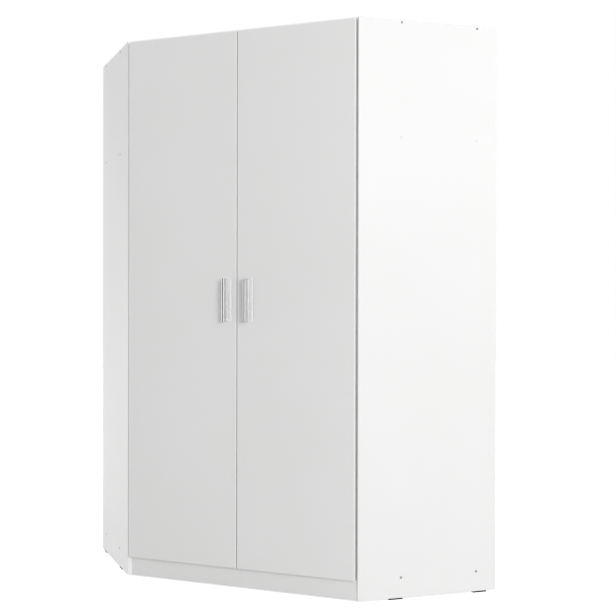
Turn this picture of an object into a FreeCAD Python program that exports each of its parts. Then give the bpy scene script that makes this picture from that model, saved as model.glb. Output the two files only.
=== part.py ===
import FreeCAD, Part
import os
import Sketcher

# Corner wardrobe, millimetres. The floor is z = 0 and the origin is the centre of the square footprint.
# The room corner lies at +x +y. The left wall piece stands along +y, the right one along +x, and the
# doors close the diagonal between them. The whole is its own mirror image in the plane x = y, so each
# left-hand piece is modelled once and its right-hand twin is mirrored.

doc = FreeCAD.newDocument("corner_wardrobe")
dims = doc.addObject("Spreadsheet::Sheet", "dims")

SIZES = (
    # Carcass
    ("footprint", 1170),
    ("overall_height", 1970),
    ("side_depth", 520),
    ("board_thickness", 16),
    ("edge_radius", 0.8),
    ("glide_height", 5),
    ("plinth_height", 61),
    ("board_front_depth", 10),
    ("hat_space_height", 374),
    ("shelf_front_depth", 60),
    ("corner_leg", 100),
    # Back walls
    ("back_thickness", 3),
    ("rebate_width", 8),
    ("sheet_play", 0.5),
    ("strip_wall", 1),
    ("strip_flange", 20),
    # Blocks and brackets
    ("corner_block_size", 22),
    ("corner_block_width", 34),
    ("plinth_bracket_leg", 32),
    ("plinth_bracket_width", 20),
    ("plinth_bracket_wall", 2),
    ("plinth_bracket_spacing", 500),
    ("wall_bracket_leg", 42),
    ("wall_bracket_width", 30),
    ("wall_bracket_wall", 2.5),
    ("wall_bracket_distance", 260),
    ("wall_hole_radius", 3),
    ("wall_hole_drop", 24),
    # Glides
    ("glide_length", 50),
    ("glide_width", 14),
    ("front_glide_distance", 140),
    ("rear_glide_distance", 459),
    # Clothes rails
    ("rail_radius", 12.5),
    ("rail_wall", 1.2),
    ("rail_drop", 64),
    ("rail_back_distance", 280),
    ("rail_end_clearance", 127),
    ("rail_play", 0.1),
    ("socket_base", 3),
    ("socket_wall", 4),
    ("socket_depth", 14),
    ("cap_flange", 3),
    ("cap_spigot", 10),
    ("hanger_setback", 60),
    ("hanger_wall", 3.5),
    ("hanger_width", 14),
    ("hanger_stem", 10),
    ("hanger_foot", 40),
    ("hanger_foot_wall", 3),
    # Doors
    ("door_thickness", 16),
    ("door_back_depth", 7),
    ("door_inset", 9),
    ("door_gap", 3),
    ("door_overlay", 8),
    ("door_edge_radius", 2),
    # Handles
    ("handle_length", 150),
    ("handle_edge_distance", 41),
    ("handle_flange_width", 18.5),
    ("handle_flange_wall", 3),
    ("handle_bar_width", 10),
    ("handle_projection", 25),
    ("handle_groove_width", 3.2),
    ("handle_groove_depth", 5),
    ("handle_radius", 1.2),
    # Hinges: heights, cup and moving pins
    ("hinge_count", 3),
    ("hinge_end_distance", 110),
    ("cup_radius", 17.5),
    ("cup_edge_distance", 5),
    ("cup_pocket_depth", 12.6),
    ("cup_floor", 0.7),
    ("cup_wall", 0.5),
    ("cup_play", 0.1),
    ("cup_flange", 1),
    ("cup_flange_radius", 18.5),
    ("cup_wing_width", 16),
    ("cup_wing_span", 62),
    ("pocket_width", 15.2),
    ("pin_radius", 1),
    ("pin_play", 0.08),
    ("pin_seat", 1.2),
    ("outer_fixed_in", 34),
    ("outer_fixed_rise", 4.4),
    ("outer_cup_in", 9.4),
    ("outer_cup_depth", 2.1),
    ("inner_fixed_in", 22.5),
    ("inner_fixed_depth", 7.2),
    ("inner_cup_in", 10.3),
    ("inner_cup_depth", 5.5),
    # Hinges: links
    ("link_wall", 1.8),
    ("eye_radius", 2.1),
    ("open_eye_slack", 1),
    ("open_eye_radius", 2.8),
    ("outer_link_bend", 24.5),
    ("inner_link_bend", 10.5),
    ("link_width", 4.6),
    ("side_play", 0.2),
    # Hinges: arm and mounting plate
    ("tongue_width", 2.4),
    ("tongue_radius", 2.4),
    ("tongue_half_width", 2.2),
    ("arm_width", 14),
    ("arm_depth", 10),
    ("arm_reach", 10),
    ("arm_neck_depth", 4.6),
    ("arm_neck_setback", 5),
    ("plate_setback", 37),
    ("plate_length", 50),
    ("plate_ridge_width", 12),
    ("plate_ridge_height", 8),
    ("plate_wing_length", 20),
    ("plate_wing_span", 50),
    ("plate_wing_wall", 3),
    # Every through cut runs this far past the face that it leaves by
    ("overrun", 2),
)

for row, (alias, size) in enumerate(SIZES, start=1):
    dims.set(f"A{row}", alias.replace("_", " "))
    dims.set(f"B{row}", str(size))
    dims.setAlias(f"B{row}", alias)
doc.recompute()

# Places that several pieces share, written in the sheet's sizes

HALF = "(dims.footprint / 2)"
INSIDE = f"({HALF} - dims.board_thickness)"
FRONT_EDGE = f"({HALF} - dims.side_depth)"
BACK = f"({HALF} - dims.strip_wall - dims.back_thickness)"
BACK_OUTER = f"({HALF} - dims.strip_wall)"
REBATE = f"({INSIDE} + dims.rebate_width)"
BOTTOM = "(dims.glide_height + dims.plinth_height)"
BOTTOM_TOP = f"({BOTTOM} + dims.board_thickness)"
TOP_UNDER = "(dims.overall_height - dims.board_thickness)"
SHELF_TOP = f"({TOP_UNDER} - dims.hat_space_height)"
SHELF_UNDER = f"({SHELF_TOP} - dims.board_thickness)"
RAIL_HEIGHT = f"({SHELF_UNDER} - dims.rail_drop)"
RAIL_LINE = f"({BACK} - dims.rail_back_distance)"
PANEL_HEIGHT = "(dims.overall_height - dims.glide_height)"
DIAGONAL = "((dims.footprint - dims.side_depth) * sqrt(2))"
DOOR_FRONT = "(dims.door_back_depth - dims.door_thickness)"
DOOR_END = f"({DIAGONAL} / 2 - dims.door_gap / 2)"
DOOR_BASE = f"({BOTTOM_TOP} - dims.door_overlay)"
DOOR_TOP = f"({TOP_UNDER} + dims.door_overlay)"
DOOR_MIDDLE = f"(({DOOR_BASE} + {DOOR_TOP}) / 2)"
HANDLE_CENTRE = f"({DOOR_END} - dims.handle_edge_distance)"
HINGE_BASE = f"({DOOR_BASE} + dims.hinge_end_distance)"
HINGE_RUN = f"({DOOR_TOP} - {DOOR_BASE} - 2 * dims.hinge_end_distance)"
CUP_CENTRE = "(dims.door_inset + dims.cup_edge_distance + dims.cup_radius)"

parts = []


def value(expression):
    return float(dims.evalExpression(expression))


# Drawing and shaping helpers

def origin_feature(body, role):
    return next(item for item in body.Origin.OriginFeatures if item.Role == role)


def new_body(label, frame=None, lift="0"):
    body = doc.addObject("PartDesign::Body", label)
    if frame:
        frame(body)
    body.setExpression("Placement.Base.z", lift)
    return body


def door_frame(piece):
    # x runs along the doors from the left front corner, y points into the wardrobe
    turn = FreeCAD.Rotation(FreeCAD.Vector(0, 0, 1), -45)
    piece.Placement = FreeCAD.Placement(FreeCAD.Vector(), turn)
    piece.setExpression("Placement.Base.x", f"-{HALF}")
    piece.setExpression("Placement.Base.y", FRONT_EDGE)


def rear_frame(piece):
    # x points inwards from the middle of the cut rear corner, y runs along the cut
    turn = FreeCAD.Rotation(FreeCAD.Vector(0, 0, 1), 225)
    piece.Placement = FreeCAD.Placement(FreeCAD.Vector(), turn)
    piece.setExpression("Placement.Base.x", f"{HALF} - dims.corner_leg / 2")
    piece.setExpression("Placement.Base.y", f"{HALF} - dims.corner_leg / 2")


def rail_frame(piece):
    # x runs along the left clothes rail from the side panel's inner face
    piece.setExpression("Placement.Base.x", f"-{INSIDE}")
    piece.setExpression("Placement.Base.y", RAIL_LINE)


def sketch(body, role, offset="0"):
    drawing = body.newObject("Sketcher::SketchObject", "Sketch")
    drawing.AttachmentSupport = [(origin_feature(body, role), "")]
    drawing.MapMode = "FlatFace"
    drawing.setExpression("AttachmentOffset.Base.z", offset)
    return drawing


def bind(drawing, constraint, expression):
    index = drawing.addConstraint(constraint)
    name = f"size_{index}"
    drawing.renameConstraint(index, name)
    drawing.setExpression(f"Constraints.{name}", expression)


def bind_point(drawing, item, end, place):
    across, up = place
    bind(drawing, Sketcher.Constraint("DistanceX", -1, 1, item, end, value(across)), across)
    bind(drawing, Sketcher.Constraint("DistanceY", -1, 1, item, end, value(up)), up)


def polygon(drawing, places):
    corners = [FreeCAD.Vector(value(across), value(up), 0) for across, up in places]
    first = drawing.GeometryCount
    count = len(places)
    for index in range(count):
        edge = Part.LineSegment(corners[index], corners[(index + 1) % count])
        drawing.addGeometry(edge, False)
    for index in range(count):
        following = first + (index + 1) % count
        drawing.addConstraint(Sketcher.Constraint("Coincident", first + index, 2, following, 1))
    for index, place in enumerate(places):
        bind_point(drawing, first + index, 1, place)


def rectangle(drawing, left, right, low, high):
    polygon(drawing, [(left, low), (right, low), (right, high), (left, high)])


def circle(drawing, place, radius):
    centre = FreeCAD.Vector(value(place[0]), value(place[1]), 0)
    item = drawing.addGeometry(Part.Circle(centre, FreeCAD.Vector(0, 0, 1), value(radius)), False)
    bind(drawing, Sketcher.Constraint("Radius", item, value(radius)), radius)
    bind_point(drawing, item, 3, place)


def pad(body, drawing, length, midplane=False, backwards=False):
    feature = body.newObject("PartDesign::Pad", "Pad")
    feature.Profile = drawing
    feature.Midplane = midplane
    feature.Reversed = backwards
    feature.setExpression("Length", length)
    doc.recompute()
    return feature


def pocket(body, drawing, length, midplane=False, backwards=False):
    before = body.Shape.Volume
    feature = body.newObject("PartDesign::Pocket", "Pocket")
    feature.Profile = drawing
    feature.Midplane = midplane
    feature.Reversed = backwards
    feature.setExpression("Length", length)
    doc.recompute()
    if not body.Shape.Volume < before:
        raise ValueError(f"{body.Label}: a cut removed nothing")
    return feature


def turned(body, outline):
    # Outline points are (distance along x, radius)
    drawing = sketch(body, "XY_Plane")
    polygon(drawing, outline)
    feature = body.newObject("PartDesign::Revolution", "Revolution")
    feature.Profile = drawing
    feature.ReferenceAxis = (drawing, ["H_Axis"])
    feature.Angle = 360
    doc.recompute()
    return feature


def repeat(body, axis, length, count, originals=None):
    feature = body.newObject("PartDesign::LinearPattern", "LinearPattern")
    feature.Direction = (origin_feature(body, axis), [""])
    feature.TransformMode = "Features" if originals else "Whole shape"
    if originals:
        feature.Originals = originals
    feature.setExpression("Length", length)
    feature.setExpression("Occurrences", count)
    body.Tip = feature
    doc.recompute()
    return feature


def every_hinge(body):
    repeat(body, "Z_Axis", HINGE_RUN, "dims.hinge_count")


def face_towards(feature, direction):
    # The flat face that lies furthest out in a direction
    best = max(
        (face.CenterOfMass.dot(direction), index)
        for index, face in enumerate(feature.Shape.Faces, start=1)
        if face.normalAt(0, 0).dot(direction) > 0.99
    )
    return f"Face{best[1]}"


def round_face(body, direction, radius):
    # Rounds every edge of the face that looks in a direction, in the body's own frame
    base = body.Tip
    face = face_towards(base, FreeCAD.Vector(*direction))
    feature = body.newObject("PartDesign::Fillet", "Fillet")
    feature.Base = (base, [face])
    feature.setExpression("Radius", radius)
    doc.recompute()


def group(label, members):
    compound = doc.addObject("Part::Compound", label)
    compound.Links = members
    return compound


def mirrored(piece, label):
    twin = doc.addObject("Part::Mirroring", label)
    twin.Source = piece
    twin.Base = (0, 0, 0)
    twin.Normal = (1, -1, 0)
    return twin


def keep(piece):
    parts.append(piece)


def keep_pair(piece):
    parts.append(piece)
    parts.append(mirrored(piece, piece.Label.replace("left_", "right_")))


# Side panels, with the rebate for the back sheet

def side_panel():
    body = new_body("left_side_panel")
    drawing = sketch(body, "XY_Plane", "dims.glide_height")
    polygon(drawing, [
        (f"-{HALF}", FRONT_EDGE),
        (f"-{INSIDE}", FRONT_EDGE),
        (f"-{INSIDE}", BACK),
        (f"-{REBATE}", BACK),
        (f"-{REBATE}", HALF),
        (f"-{HALF}", HALF),
    ])
    pad(body, drawing, PANEL_HEIGHT)
    round_face(body, (0, -1, 0), "dims.edge_radius")
    keep_pair(body)


# The three level boards: five-sided, with the rear corner cut off

def level_board(label, underside, front_depth):
    body = new_body(label)
    front = f"({INSIDE} - dims.side_depth + {front_depth} * sqrt(2))"
    cut = f"(dims.footprint - dims.corner_leg - dims.board_thickness * sqrt(2) - {BACK})"
    drawing = sketch(body, "XY_Plane", underside)
    polygon(drawing, [
        (f"-{INSIDE}", front),
        (front, f"-{INSIDE}"),
        (BACK, f"-{INSIDE}"),
        (BACK, cut),
        (cut, BACK),
        (f"-{INSIDE}", BACK),
    ])
    pad(body, drawing, "dims.board_thickness")
    keep(body)


# Rear corner board and the blocks that fasten it to the level boards

def corner_board():
    body = new_body("corner_board", rear_frame)
    half_width = "((dims.corner_leg / 2 - dims.strip_wall - dims.back_thickness) * sqrt(2))"
    inner_half_width = f"({half_width} + dims.board_thickness)"
    drawing = sketch(body, "XY_Plane", "dims.glide_height")
    polygon(drawing, [
        ("0", f"-{half_width}"),
        ("dims.board_thickness", f"-{inner_half_width}"),
        ("dims.board_thickness", inner_half_width),
        ("0", half_width),
    ])
    pad(body, drawing, PANEL_HEIGHT)
    keep(body)


def corner_blocks():
    members = []
    low_edges = (
        BOTTOM_TOP,
        f"{SHELF_UNDER} - dims.corner_block_size",
        f"{TOP_UNDER} - dims.corner_block_size",
    )
    for low_edge in low_edges:
        body = new_body("corner_block", rear_frame, low_edge)
        drawing = sketch(body, "XY_Plane")
        inner = "dims.board_thickness + dims.corner_block_size"
        half_width = "dims.corner_block_width / 2"
        rectangle(drawing, "dims.board_thickness", inner, f"-{half_width}", half_width)
        pad(body, drawing, "dims.corner_block_size")
        members.append(body)
    keep(group("corner_blocks", members))


# Plinth between the side panels, its ends bevelled against them, and its brackets

def plinth_board():
    body = new_body("plinth_board", door_frame)
    rear = "(dims.board_front_depth + dims.board_thickness)"
    front_end = "(dims.board_thickness * sqrt(2) - dims.board_front_depth)"
    rear_end = f"(dims.board_thickness * sqrt(2) - {rear})"
    drawing = sketch(body, "XY_Plane", "dims.glide_height")
    polygon(drawing, [
        (front_end, "dims.board_front_depth"),
        (f"{DIAGONAL} - {front_end}", "dims.board_front_depth"),
        (f"{DIAGONAL} - {rear_end}", rear),
        (rear_end, rear),
    ])
    pad(body, drawing, "dims.plinth_height")
    keep(body)


def plinth_brackets():
    body = new_body("plinth_brackets", door_frame)
    start = "dims.plinth_bracket_spacing / 2 + dims.plinth_bracket_width / 2"
    drawing = sketch(body, "YZ_Plane", f"{DIAGONAL} / 2 - ({start})")
    rear = "(dims.board_front_depth + dims.board_thickness)"
    polygon(drawing, [
        (rear, f"{BOTTOM} - dims.plinth_bracket_leg"),
        (f"{rear} + dims.plinth_bracket_wall", f"{BOTTOM} - dims.plinth_bracket_leg"),
        (f"{rear} + dims.plinth_bracket_wall", f"{BOTTOM} - dims.plinth_bracket_wall"),
        (f"{rear} + dims.plinth_bracket_leg", f"{BOTTOM} - dims.plinth_bracket_wall"),
        (f"{rear} + dims.plinth_bracket_leg", BOTTOM),
        (rear, BOTTOM),
    ])
    pad(body, drawing, "dims.plinth_bracket_width")
    repeat(body, "X_Axis", "dims.plinth_bracket_spacing", "2")
    keep(body)


# Back walls: two thin sheets per wall, joined by an H-shaped strip

SHEET_START = f"(-{REBATE} + dims.sheet_play)"
SHEET_END = f"({HALF} - dims.corner_leg + dims.strip_wall)"
SHEET_JOINT = f"((({SHEET_END}) - ({REBATE})) / 2)"
SHEET_HEIGHT = f"(dims.overall_height - {BOTTOM})"
BRACKET_CENTRE = f"(-{INSIDE} + dims.wall_bracket_distance)"
WALL_HOLE = (BRACKET_CENTRE, f"{TOP_UNDER} - dims.wall_hole_drop")


def back_sheets():
    outer = new_body("left_outer_back_sheet")
    drawing = sketch(outer, "XY_Plane", BOTTOM)
    rectangle(drawing, SHEET_START, f"{SHEET_JOINT} - dims.strip_wall", BACK, BACK_OUTER)
    pad(outer, drawing, SHEET_HEIGHT)
    hole = sketch(outer, "XZ_Plane", f"-{BACK}")
    circle(hole, WALL_HOLE, "dims.wall_hole_radius")
    pocket(outer, hole, "dims.back_thickness + dims.overrun")
    keep_pair(outer)
    inner = new_body("left_inner_back_sheet")
    drawing = sketch(inner, "XY_Plane", BOTTOM)
    rectangle(drawing, f"{SHEET_JOINT} + dims.strip_wall", SHEET_END, BACK, BACK_OUTER)
    pad(inner, drawing, SHEET_HEIGHT)
    keep_pair(inner)


def joint_strip():
    body = new_body("left_back_joint_strip")
    web_left = f"{SHEET_JOINT} - dims.strip_wall / 2"
    web_right = f"{SHEET_JOINT} + dims.strip_wall / 2"
    left = f"{SHEET_JOINT} - dims.strip_flange / 2"
    right = f"{SHEET_JOINT} + dims.strip_flange / 2"
    inner_face = f"({BACK} - dims.strip_wall)"
    drawing = sketch(body, "XY_Plane", BOTTOM)
    polygon(drawing, [
        (left, inner_face),
        (right, inner_face),
        (right, BACK),
        (web_right, BACK),
        (web_right, BACK_OUTER),
        (right, BACK_OUTER),
        (right, HALF),
        (left, HALF),
        (left, BACK_OUTER),
        (web_left, BACK_OUTER),
        (web_left, BACK),
        (left, BACK),
    ])
    pad(body, drawing, SHEET_HEIGHT)
    # The inner flange is cut away where the level boards meet the back sheets
    notches = sketch(body, "XZ_Plane", f"-{inner_face}")
    past_left = f"{left} - dims.overrun"
    past_right = f"{right} + dims.overrun"
    rectangle(notches, past_left, past_right, f"{BOTTOM} - dims.overrun", f"{BOTTOM_TOP} + dims.sheet_play")
    low_edge = f"{SHELF_UNDER} - dims.sheet_play"
    rectangle(notches, past_left, past_right, low_edge, f"{SHELF_TOP} + dims.sheet_play")
    high_edge = "dims.overall_height + dims.overrun"
    rectangle(notches, past_left, past_right, f"{TOP_UNDER} - dims.sheet_play", high_edge)
    pocket(body, notches, "dims.strip_wall")
    keep_pair(body)


def wall_bracket():
    body = new_body("left_wall_bracket")
    drawing = sketch(body, "YZ_Plane", f"{BRACKET_CENTRE} - dims.wall_bracket_width / 2")
    polygon(drawing, [
        (BACK, TOP_UNDER),
        (BACK, f"{TOP_UNDER} - dims.wall_bracket_leg"),
        (f"{BACK} - dims.wall_bracket_wall", f"{TOP_UNDER} - dims.wall_bracket_leg"),
        (f"{BACK} - dims.wall_bracket_wall", f"{TOP_UNDER} - dims.wall_bracket_wall"),
        (f"{BACK} - dims.wall_bracket_leg", f"{TOP_UNDER} - dims.wall_bracket_wall"),
        (f"{BACK} - dims.wall_bracket_leg", TOP_UNDER),
    ])
    pad(body, drawing, "dims.wall_bracket_width")
    hole = sketch(body, "XZ_Plane", f"dims.wall_bracket_wall - {BACK}")
    circle(hole, WALL_HOLE, "dims.wall_hole_radius")
    pocket(body, hole, "dims.wall_bracket_wall + dims.overrun")
    keep_pair(body)


# Glides under the side panels and the rear corner board

def floor_glides():
    left = new_body("left_glides")
    middle = f"(-{HALF} + dims.board_thickness / 2)"
    first = f"({FRONT_EDGE} + dims.front_glide_distance)"
    drawing = sketch(left, "XY_Plane")
    rectangle(
        drawing,
        f"{middle} - dims.glide_width / 2",
        f"{middle} + dims.glide_width / 2",
        f"{first} - dims.glide_length / 2",
        f"{first} + dims.glide_length / 2",
    )
    pad(left, drawing, "dims.glide_height")
    repeat(left, "Y_Axis", "dims.rear_glide_distance - dims.front_glide_distance", "2")
    rear = new_body("rear_glide", rear_frame)
    drawing = sketch(rear, "XY_Plane")
    middle = "dims.board_thickness / 2"
    rectangle(
        drawing,
        f"{middle} - dims.glide_width / 2",
        f"{middle} + dims.glide_width / 2",
        "-dims.glide_length / 2",
        "dims.glide_length / 2",
    )
    pad(rear, drawing, "dims.glide_height")
    keep(group("floor_glides", [left, mirrored(left, "right_glides"), rear]))


# Clothes rails, each with its wall socket, end cap and hanger

RAIL_END = f"({RAIL_LINE} + {INSIDE} - dims.rail_end_clearance)"
RAIL_BORE = "(dims.rail_radius - dims.rail_wall)"
RAIL_SLEEVE = "(dims.rail_radius + dims.rail_play)"


def keep_both_sides(label, left):
    keep(group(label, [left, mirrored(left, f"{left.Label}_twin")]))


def clothes_rail():
    rail = new_body("left_rail", rail_frame, RAIL_HEIGHT)
    turned(rail, [
        ("dims.socket_base", RAIL_BORE),
        (RAIL_END, RAIL_BORE),
        (RAIL_END, "dims.rail_radius"),
        ("dims.socket_base", "dims.rail_radius"),
    ])
    keep_pair(rail)
    socket = new_body("rail_socket", rail_frame, RAIL_HEIGHT)
    turned(socket, [
        ("0", "0"),
        ("dims.socket_base", "0"),
        ("dims.socket_base", RAIL_SLEEVE),
        ("dims.socket_depth", RAIL_SLEEVE),
        ("dims.socket_depth", f"{RAIL_SLEEVE} + dims.socket_wall"),
        ("0", f"{RAIL_SLEEVE} + dims.socket_wall"),
    ])
    keep_both_sides("rail_sockets", socket)
    cap = new_body("rail_cap", rail_frame, RAIL_HEIGHT)
    drawing = sketch(cap, "YZ_Plane", RAIL_END)
    circle(drawing, ("0", "0"), "dims.rail_radius")
    pad(cap, drawing, "dims.cap_flange")
    drawing = sketch(cap, "YZ_Plane", RAIL_END)
    eye_outline(drawing, ("0", "0"), f"({RAIL_BORE} - dims.rail_play)")
    pad(cap, drawing, "dims.cap_spigot", backwards=True)
    keep_both_sides("rail_caps", cap)


def rail_hanger():
    hanger = new_body("rail_hanger", rail_frame, RAIL_HEIGHT)
    middle = f"({RAIL_END} - dims.hanger_setback)"
    drawing = sketch(hanger, "YZ_Plane", f"{middle} - dims.hanger_width / 2")
    circle(drawing, ("0", "0"), f"{RAIL_SLEEVE} + dims.hanger_wall")
    pad(hanger, drawing, "dims.hanger_width")
    drawing = sketch(hanger, "YZ_Plane", f"{middle} - dims.hanger_width / 2")
    rectangle(drawing, "-dims.hanger_stem / 2", "dims.hanger_stem / 2", RAIL_BORE, "dims.rail_drop")
    pad(hanger, drawing, "dims.hanger_width")
    drawing = sketch(hanger, "XY_Plane", "dims.rail_drop - dims.hanger_foot_wall")
    rectangle(
        drawing,
        f"{middle} - dims.hanger_foot / 2",
        f"{middle} + dims.hanger_foot / 2",
        "-dims.hanger_foot / 2",
        "dims.hanger_foot / 2",
    )
    pad(hanger, drawing, "dims.hanger_foot_wall")
    drawing = sketch(hanger, "YZ_Plane", middle)
    circle(drawing, ("0", "0"), RAIL_SLEEVE)
    pocket(hanger, drawing, "dims.hanger_width + dims.overrun", midplane=True)
    keep_both_sides("rail_hangers", hanger)


# Doors, with the bores for the hinge cups

def door():
    body = new_body("left_door_panel", door_frame)
    drawing = sketch(body, "XY_Plane", DOOR_BASE)
    rectangle(drawing, "dims.door_inset", DOOR_END, DOOR_FRONT, "dims.door_back_depth")
    pad(body, drawing, f"{DOOR_TOP} - {DOOR_BASE}")
    round_face(body, (0, -1, 0), "dims.door_edge_radius")
    drawing = sketch(body, "XZ_Plane", "-dims.door_back_depth")
    circle(drawing, (CUP_CENTRE, HINGE_BASE), "dims.cup_radius + dims.cup_play")
    bore = pocket(body, drawing, "dims.cup_pocket_depth + dims.cup_floor", backwards=True)
    repeat(body, "Z_Axis", HINGE_RUN, "dims.hinge_count", [bore])
    keep_pair(body)


def handle(label, centre):
    # An L-shaped extrusion: a grooved grip bar with a flange on its right, the same way round on both doors
    body = new_body(label, door_frame)
    half_bar = "dims.handle_bar_width / 2"
    half_groove = "dims.handle_groove_width / 2"
    flange_end = f"{centre} + {half_bar} + dims.handle_flange_width"
    flange_face = f"{DOOR_FRONT} - dims.handle_flange_wall"
    bar_face = f"{DOOR_FRONT} - dims.handle_projection"
    groove_floor = f"{bar_face} + dims.handle_groove_depth"
    drawing = sketch(body, "XY_Plane", f"{DOOR_MIDDLE} - dims.handle_length / 2")
    polygon(drawing, [
        (f"{centre} - {half_bar}", DOOR_FRONT),
        (f"{centre} - {half_bar}", bar_face),
        (f"{centre} - {half_groove}", bar_face),
        (f"{centre} - {half_groove}", groove_floor),
        (f"{centre} + {half_groove}", groove_floor),
        (f"{centre} + {half_groove}", bar_face),
        (f"{centre} + {half_bar}", bar_face),
        (f"{centre} + {half_bar}", flange_face),
        (flange_end, flange_face),
        (flange_end, DOOR_FRONT),
    ])
    extrusion = pad(body, drawing, "dims.handle_length")
    # The long edges of the bar and of the flange are rounded, inside and outside corners alike
    front = value(DOOR_FRONT)
    groove_reach = value(half_groove) + value("dims.handle_radius")
    rounded = []
    for index, edge in enumerate(extrusion.Shape.Edges, start=1):
        middle = edge.CenterOfMass
        upright = abs(edge.tangentAt(edge.FirstParameter).z) > 0.99
        on_door = abs(middle.y - front) < value("dims.edge_radius")
        in_groove = abs(middle.x - value(centre)) < groove_reach
        if upright and not on_door and not in_groove:
            rounded.append(f"Edge{index}")
    fillet = body.newObject("PartDesign::Fillet", "Fillet")
    fillet.Base = (extrusion, rounded)
    fillet.setExpression("Radius", "dims.handle_radius")
    doc.recompute()
    keep(body)


# Concealed corner hinges. Each is a four-bar chain: two links join the arm on the side panel to the cup
# in the door, so that the door's edge swings round the panel's edge. The pivots are set out from the
# door's hinge edge and back face.

OUTER_FIXED = ("(dims.door_inset + dims.outer_fixed_in)", "(dims.door_back_depth + dims.outer_fixed_rise)")
OUTER_CUP = ("(dims.door_inset + dims.outer_cup_in)", "(dims.door_back_depth - dims.outer_cup_depth)")
INNER_FIXED = ("(dims.door_inset + dims.inner_fixed_in)", "(dims.door_back_depth - dims.inner_fixed_depth)")
INNER_CUP = ("(dims.door_inset + dims.inner_cup_in)", "(dims.door_back_depth - dims.inner_cup_depth)")
LINK_SIDE = "(dims.tongue_width / 2 + dims.side_play)"
LINK_END = f"({LINK_SIDE} + dims.link_width)"
PIN_HOLE = "(dims.pin_radius + dims.pin_play)"


def on_panel(along, off):
    # A place beside the side panel: so far behind its front edge, so far off its inner face
    across = f"((dims.board_thickness + ({off}) - ({along})) / sqrt(2))"
    inwards = f"((dims.board_thickness + ({off}) + ({along})) / sqrt(2))"
    return across, inwards


def pin(body, place, start, reach, downwards=False):
    drawing = sketch(body, "XY_Plane", start)
    circle(drawing, place, "dims.pin_radius")
    pad(body, drawing, reach, backwards=downwards)


def hinge_cups():
    body = new_body("left_hinge_cups", door_frame, HINGE_BASE)
    back = "-dims.door_back_depth"
    drawing = sketch(body, "XZ_Plane", back)
    circle(drawing, (CUP_CENTRE, "0"), "dims.cup_radius")
    pad(body, drawing, "dims.cup_pocket_depth + dims.cup_floor")
    drawing = sketch(body, "XZ_Plane", back)
    circle(drawing, (CUP_CENTRE, "0"), "dims.cup_flange_radius")
    pad(body, drawing, "dims.cup_flange", backwards=True)
    drawing = sketch(body, "XZ_Plane", back)
    rectangle(
        drawing,
        f"{CUP_CENTRE} - dims.cup_wing_width / 2",
        f"{CUP_CENTRE} + dims.cup_wing_width / 2",
        "-dims.cup_wing_span / 2",
        "dims.cup_wing_span / 2",
    )
    pad(body, drawing, "dims.cup_flange", backwards=True)
    drawing = sketch(body, "XZ_Plane", f"{back} - dims.cup_flange")
    pocket_outline(drawing)
    pocket(body, drawing, "dims.cup_pocket_depth + dims.cup_flange", backwards=True)
    # The flange is open towards the door's edge, where the inner links lie when the door is open
    drawing = sketch(body, "XZ_Plane", f"{back} - dims.cup_flange")
    rectangle(
        drawing,
        f"{CUP_CENTRE} - dims.cup_flange_radius - dims.overrun",
        CUP_CENTRE,
        "-dims.pocket_width / 2",
        "dims.pocket_width / 2",
    )
    pocket(body, drawing, "dims.cup_flange", backwards=True)
    # A riveted pin stands out of each side wall of the pocket
    reach = f"dims.pocket_width / 2 + dims.pin_seat - {LINK_SIDE}"
    pin(body, OUTER_CUP, LINK_SIDE, reach)
    pin(body, INNER_CUP, f"-{LINK_SIDE}", reach, downwards=True)
    every_hinge(body)
    keep_pair(body)


def pocket_outline(drawing):
    # The pocket is a straight slot across the cup, ended by the cup's round wall
    radius = "(dims.cup_radius - dims.cup_wall)"
    half = "(dims.pocket_width / 2)"
    reach = f"sqrt({radius} * {radius} - {half} * {half})"
    corners = [
        (f"{CUP_CENTRE} - {reach}", f"-{half}"),
        (f"{CUP_CENTRE} + {reach}", f"-{half}"),
        (f"{CUP_CENTRE} + {reach}", half),
        (f"{CUP_CENTRE} - {reach}", half),
    ]
    low_left, low_right, high_right, high_left = [
        FreeCAD.Vector(value(across), value(up), 0) for across, up in corners
    ]
    middle = FreeCAD.Vector(value(CUP_CENTRE), 0, 0)
    side = FreeCAD.Vector(value(radius), 0, 0)
    drawing.addGeometry(Part.LineSegment(low_left, low_right), False)
    drawing.addGeometry(Part.Arc(low_right, middle + side, high_right), False)
    drawing.addGeometry(Part.LineSegment(high_right, high_left), False)
    drawing.addGeometry(Part.Arc(high_left, middle - side, low_left), False)
    for item, following in ((0, 1), (1, 2), (2, 3), (3, 0)):
        drawing.addConstraint(Sketcher.Constraint("Coincident", item, 2, following, 1))
    bind_point(drawing, 0, 1, corners[0])
    bind_point(drawing, 0, 2, corners[1])
    bind_point(drawing, 2, 1, corners[2])
    bind_point(drawing, 2, 2, corners[3])
    bind(drawing, Sketcher.Constraint("Radius", 1, value(radius)), radius)
    bind(drawing, Sketcher.Constraint("Radius", 3, value(radius)), radius)


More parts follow.
